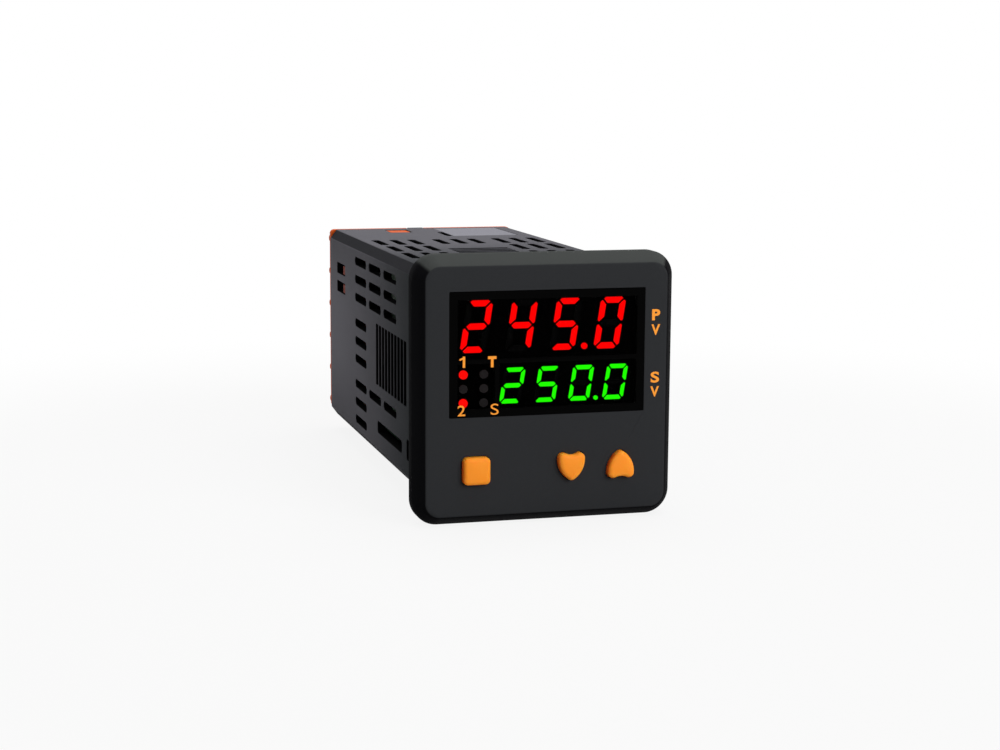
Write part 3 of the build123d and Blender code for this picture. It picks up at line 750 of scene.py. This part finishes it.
class CONTROLLER_OT_window(bpy.types.Operator):
    """Dress the tinted pane, the two displays and the lamps"""

    bl_idname = "controller.window"
    bl_label = "Display window"

    def execute(self, context):
        colours = context.scene.controller_colours
        tint = context.scene.controller_details.pane_tint
        dress("display_pane", tinted_pane(colours, tint))
        black = moulded("display_black", tone(0x020202), 0.9, specular=0)
        for node in DISPLAYS:
            dress(node, black)
        # Light comes through two faces of the pane, and each of them stops the tint's share
        glow = (1 - tint) ** -2
        dress("process_segments_lit", lens("red_segment_lit", colours.process_value, glow))
        dress("setpoint_segments_lit", lens("green_segment_lit", colours.setpoint_value, glow))
        dress("lamps_lit", lens("lamp_lit", colours.lamp, glow))
        dress("lamps_dark", lens("lamp_dark", colours.unlit))
        dark = lens("segment_dark", tone(0x020202))
        dress("process_segments_dark", dark)
        dress("setpoint_segments_dark", dark)
        return {"FINISHED"}


class CONTROLLER_OT_legends(bpy.types.Operator):
    """Print the plain letters and numbers on the front"""

    bl_idname = "controller.legends"
    bl_label = "Legends"

    # Name, text, how bold, and the rectangle that it fills on the front, in millimetres: low x,
    # low z, high x, high z
    places = (
        ("lamp_legend_1", "1", 0, (-16.14, 4.43, -15.12, 6.42)),
        ("lamp_legend_2", "2", 0.01, (-16.46, -4.12, -15.08, -2.22)),
        ("lamp_legend_t", "T", 0.06, (-11.00, 4.35, -9.46, 6.32)),
        ("lamp_legend_s", "S", 0.0, (-10.48, -4.11, -9.02, -2.13)),
        ("process_legend_p", "P", 0.04, (19.26, 11.78, 20.80, 13.78)),
        ("process_legend_v", "V", 0.03, (19.18, 9.14, 20.82, 11.06)),
        ("setpoint_legend_s", "S", 0.03, (19.22, 0.50, 20.80, 2.50)),
        ("setpoint_legend_v", "V", 0.03, (19.18, -2.04, 20.82, -0.15)),
    )

    def execute(self, context):
        ink = printed_ink(context.scene.controller_colours)
        ink_y = FRONT_Y - context.scene.controller_details.ink_thickness
        for name, text, bold, box in self.places:
            low_x, low_z, high_x, high_z = (value * MM for value in box)
            letter = character(text, name, bold)
            fit(letter, Vector((low_x, ink_y, low_z)), Vector((high_x, FRONT_Y, high_z)))
            show(letter, ink, CONTROLLER, "key_plastic")
        return {"FINISHED"}


class CONTROLLER_OT_terminals(bpy.types.Operator):
    """Dress the back cover, the contact plates, the clamps and the screws"""

    bl_idname = "controller.terminals"
    bl_label = "Terminals"

    # The terminals: how many in a column, how far apart, and the height of the middle one
    rows = 5
    pitch = 7.2 * MM
    middle_z = 0.65 * MM
    # Their numbers: how far from the middle, on which face, and how bold they are, and the width
    # of a digit as a share of its height, with how much narrower a 1 is
    number_x = 10.3 * MM
    plate_back_y = 94.3 * MM
    number_bold = 0.015
    digit_width = 0.62
    narrower_one = 0.2
    # The side catches and the top latch: how deep they stand below the case's faces in the solids
    # and when finished, how deep a catch reaches, where it and all the hooks end towards the rear,
    # and how much longer a catch becomes
    catch_drop = 0.5 * MM
    latch_drop = 0.2 * MM
    flush_drop = 0.1 * MM
    catch_depth = 2.0 * MM
    catch_back = 77.35 * MM
    hooks_back = 88.6 * MM
    catch_growth = 0.8 * MM

    def execute(self, context):
        colours = context.scene.controller_colours
        details = context.scene.controller_details
        cover = merged_copy("back_cover")
        self.raise_catches(cover)
        soften(cover, details.cover_edge, details.edge_steps)
        show(cover, cover_plastic(colours), CONTROLLER, "cover_plastic", "back_cover")
        self.number_terminals(details)
        zinc = metal("steel_screw", tone(0xC9CACC), 0.32, (1, 1, 0.15))
        clamps = soft_copy("terminal_clamps", details.metal_edge, details.edge_steps)
        show(clamps, zinc, CONTROLLER, "steel_screw", "terminal_clamps")
        screws = merged_copy("terminal_screws")
        smooth(screws)
        show(screws, zinc, CONTROLLER, "steel_screw", "terminal_screws")
        dress("terminal_plates", metal("brass_contact", tone(0xD9B36A), 0.3))
        return {"FINISHED"}

    def raise_catches(self, cover):
        """Brings the side catches and the top latch nearly flush with the case's outer faces."""
        near = 0.02 * MM
        catch_face = CASE_HALF - self.catch_drop - near
        catch_root = CASE_HALF - self.catch_depth
        latch_face = CASE_HALF - self.latch_drop - near
        for side in (-1, 1):
            nudge(
                cover,
                lambda point: point.x * side > catch_face and point.y < self.hooks_back,
                (side * (self.catch_drop - self.flush_drop), 0, 0),
            )
            nudge(
                cover,
                lambda point: point.x * side > catch_root and abs(point.y - self.catch_back) < near,
                (0, self.catch_growth, 0),
            )
        nudge(
            cover,
            lambda point: point.z > latch_face and point.y < self.hooks_back + near,
            (0, 0, self.latch_drop - self.flush_drop),
        )

    def number_terminals(self, details):
        """Puts a plain number beside each terminal, counted down as seen from behind."""
        ink = moulded("number_ink", tone(0x1A1A1C), 0.5, SEMI_GLOSS)
        height, relief = details.number_height, details.number_relief
        for i in range(2 * self.rows):
            column, row = divmod(i, self.rows)
            text = str(i + 1)
            narrower = self.narrower_one * text.count("1")
            width = height * (self.digit_width * len(text) - narrower)
            x = self.number_x if column == 0 else -self.number_x
            z = self.middle_z + ((self.rows - 1) / 2 - row) * self.pitch
            low = Vector((x - width / 2, self.plate_back_y, z - height / 2))
            high = Vector((x + width / 2, self.plate_back_y + relief, z + height / 2))
            number = character(text, "terminal_number_" + text, self.number_bold)
            fit(number, low, high, behind=True)
            show(number, ink, CONTROLLER, "case_plastic")


class CONTROLLER_OT_electronics(bpy.types.Operator):
    """Dress the boards and what they carry"""

    bl_idname = "controller.electronics"
    bl_label = "Electronics"

    def execute(self, context):
        board = circuit_board(context.scene.controller_colours)
        package = moulded("component_black", tone(0x1E1E20), 0.5)
        can = metal("capacitor_can", tone(0x8F9296), 0.35)
        relay = moulded("relay_blue", tone(0x24407A), 0.35)
        finishes = {
            "front_board": board,
            "control_board": board,
            "power_board": board,
            "board_headers": package,
            "processor": package,
            "input_converter": package,
            "optocouplers": package,
            "output_relay_1": relay,
            "output_relay_2": relay,
            "mains_fuse": moulded("fuse_brown", tone(0x5A3020), 0.35),
            "varistor": moulded("varistor_blue", tone(0x2A5A90), 0.3),
            "bulk_capacitor": can,
            "output_capacitors": can,
            "transformer_core": moulded("ferrite", tone(0x2C2C2E), 0.7),
            "transformer_winding": moulded("winding_tape", tone(0xD8B23C), 0.35),
        }
        for node, material in finishes.items():
            dress(node, material)
        return {"FINISHED"}


class CONTROLLER_OT_label(bpy.types.Operator):
    """Dress the bare label on top of the case"""

    bl_idname = "controller.label"
    bl_label = "Label"

    def execute(self, context):
        colour = context.scene.controller_colours.label
        dress("rating_label", moulded("label_film", colour, 0.4, SATIN))
        return {"FINISHED"}


class CONTROLLER_OT_stage(bpy.types.Operator):
    """Set up the floor, the soft lights and the camera"""

    bl_idname = "controller.stage"
    bl_label = "Studio"

    # The point that the lamps look at, and each one's name, place, side in metres and watts
    aim = Vector((0, 0.03, 0))
    lamps = (
        ("top_light", (0.12, 0.20, 0.85), 0.8, 8.0),
        ("front_light", (0.50, -0.90, 0.45), 0.7, 9.7),
        ("side_light", (-0.85, 0.60, 0.30), 0.5, 1.4),
    )
    # How strongly the floor shows the shadow, and the distances in metres over which that fades
    shadow_share = 0.12
    shadow_reach = (0.12, 0.25)

    def execute(self, context):
        stage = context.scene.controller_stage
        self.build_floor(stage)
        for name, place, side, power in self.lamps:
            self.build_lamp(name, place, side, power)
        self.build_world(context.scene, stage)
        self.build_camera(context.scene, stage)
        context.scene.view_settings.view_transform = "Standard"
        return {"FINISHED"}

    def build_floor(self, stage):
        """A white floor that shows a shadow near the controller, and only white further away."""
        bpy.ops.object.select_all(action="DESELECT")
        bpy.ops.mesh.primitive_plane_add(size=stage.floor_side, location=(0, 0, CAD_BOX[0].z))
        floor = bpy.context.object
        floor.name = "floor"
        bpy.ops.object.transform_apply(location=True, rotation=True, scale=True)
        finish = Finish("floor_paper")
        fibre = finish.noise(1.5 * MM, 3)
        finish.set(
            Base_Color=finish.mix(fibre, tone(0xB4B4B3), tone(0xB8B8B7)),
            Roughness=0.9,
            Specular_IOR_Level=0.0,
        )
        white = finish.node("ShaderNodeEmission", {}, {"Color": (1, 1, 1, 1), "Strength": 1.0})
        far = finish.step(finish.length(finish.place), *self.shadow_reach)
        lit = seen_directly(finish) * (far * self.shadow_share + (1 - self.shadow_share))
        surface = Link(finish, finish.surface.outputs[0])
        blend = finish.node("ShaderNodeMixShader", {}, {0: lit, 1: surface, 2: white})
        finish.fill(finish.tree.nodes["Material Output"], {"Surface": blend})
        floor.data.materials.append(finish.material)

    def build_lamp(self, name, place, side, power):
        """A soft square lamp that looks at the controller."""
        bpy.ops.object.light_add(type="AREA", location=place)
        lamp = bpy.context.object
        lamp.name = name
        lamp.data.size = side
        lamp.data.energy = power
        lamp.rotation_euler = (self.aim - Vector(place)).to_track_quat("-Z", "Y").to_euler()

    def build_world(self, scene, stage):
        """A room that looks white, and lights the controller from all round with less than that."""
        world = bpy.data.worlds.new("studio")
        world.use_nodes = True
        scene.world = world
        tree = Tree(world.node_tree)
        direct = seen_directly(tree)
        background = world.node_tree.nodes["Background"]
        strength = direct * (1 - stage.ambient) + stage.ambient
        tree.fill(background, {"Strength": strength, "Color": (1, 1, 1, 1)})

    def build_camera(self, scene, stage):
        """A camera that stands and looks as the photograph's did."""
        yaw, pitch, roll = stage.camera_yaw, stage.camera_pitch, stage.camera_roll
        forward = Vector((sin(yaw) * cos(pitch), cos(yaw) * cos(pitch), -sin(pitch)))
        level = Vector((cos(yaw), -sin(yaw), 0))
        upright = level.cross(forward)
        right = level * cos(roll) + upright * sin(roll)
        up = upright * cos(roll) - level * sin(roll)
        bpy.ops.object.camera_add()
        camera = bpy.context.object
        camera.name = "photo_camera"
        turn = Matrix((right, up, -forward)).transposed().to_4x4()
        camera.matrix_world = Matrix.Translation(stage.camera_place) @ turn
        camera.data.sensor_width = 36
        camera.data.lens = stage.lens
        camera.data.clip_start = 0.01
        scene.camera = camera


def seen_directly(tree):
    """1 for what the camera, a reflection or a clear pane shows, and 0 for what lights a thing."""
    rays = [
        tree.node("ShaderNodeLightPath", out=name)
        for name in ("Is Camera Ray", "Is Glossy Ray", "Is Transmission Ray")
    ]
    return rays[0].highest(rays[1]).highest(rays[2])


OPERATORS = (
    CONTROLLER_OT_housing,
    CONTROLLER_OT_keys,
    CONTROLLER_OT_window,
    CONTROLLER_OT_legends,
    CONTROLLER_OT_terminals,
    CONTROLLER_OT_electronics,
    CONTROLLER_OT_label,
    CONTROLLER_OT_stage,
)
GROUPS = {
    "controller_colours": ControllerColours,
    "controller_details": ControllerDetails,
    "controller_stage": ControllerStage,
}


class CONTROLLER_PT_panel(bpy.types.Panel):
    """Lists the steps that dress the controller"""

    bl_idname = "CONTROLLER_PT_panel"
    bl_label = "Temperature Controller"
    bl_space_type = "VIEW_3D"
    bl_region_type = "UI"
    bl_category = "Controller"

    def draw(self, context):
        for operator in OPERATORS:
            self.layout.operator(operator.bl_idname)
        for name, group in GROUPS.items():
            box = self.layout.box()
            for key in group.__annotations__:
                box.prop(getattr(context.scene, name), key)


def register():
    for name, group in GROUPS.items():
        bpy.utils.register_class(group)
        setattr(bpy.types.Scene, name, PointerProperty(type=group))
    for cls in (*OPERATORS, CONTROLLER_PT_panel):
        bpy.utils.register_class(cls)


def unregister():
    for cls in (CONTROLLER_PT_panel, *OPERATORS):
        bpy.utils.unregister_class(cls)
    for name, group in GROUPS.items():
        delattr(bpy.types.Scene, name)
        bpy.utils.unregister_class(group)


def main():
    register()
    bpy.ops.controller.housing()
    bpy.ops.controller.keys()
    bpy.ops.controller.window()
    bpy.ops.controller.legends()
    bpy.ops.controller.terminals()
    bpy.ops.controller.electronics()
    bpy.ops.controller.label()
    bpy.ops.controller.stage()


if __name__ == "__main__":
    main()
